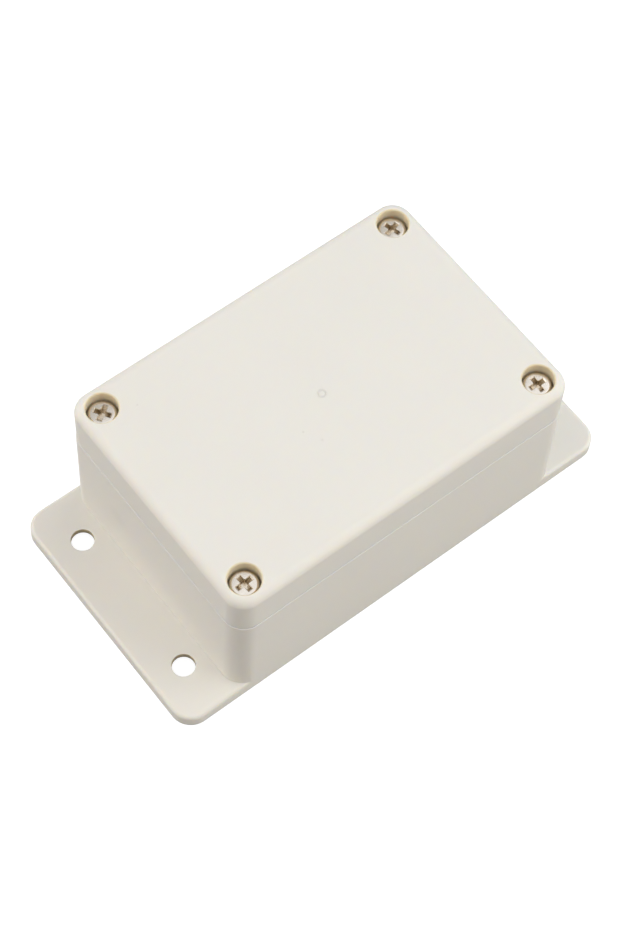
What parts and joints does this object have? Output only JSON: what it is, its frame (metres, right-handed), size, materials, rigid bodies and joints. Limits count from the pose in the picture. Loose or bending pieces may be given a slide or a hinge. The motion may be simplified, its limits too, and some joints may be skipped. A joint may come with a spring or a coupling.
{
  "type": "flanged project box",
  "caption": "Ivory plastic project box with rounded corners, a screwed-on lid with sunk pan head screws, a sealing cord in a groove, and a fixing ear at each end of the base",
  "frame": {"origin": "centre of the underside, on the surface that the box is fixed to", "axes": "+X along the box from ear to ear, +Y across the box, +Z out of the underside through the lid"},
  "size_m": [0.131, 0.0688, 0.047],
  "materials": {
    "housing": "satin moulded ABS",
    "seal_rubber": "soft matte cord",
    "screw_steel": "bright plated"
  },
  "bodies": {
    "root": {"base": "housing", "lid": "housing", "seal": "seal_rubber", "lid_screw_back_right": "screw_steel", "lid_screw_back_left": "screw_steel", "lid_screw_front_left": "screw_steel", "lid_screw_front_right": "screw_steel"}
  },
  "joints": []
}
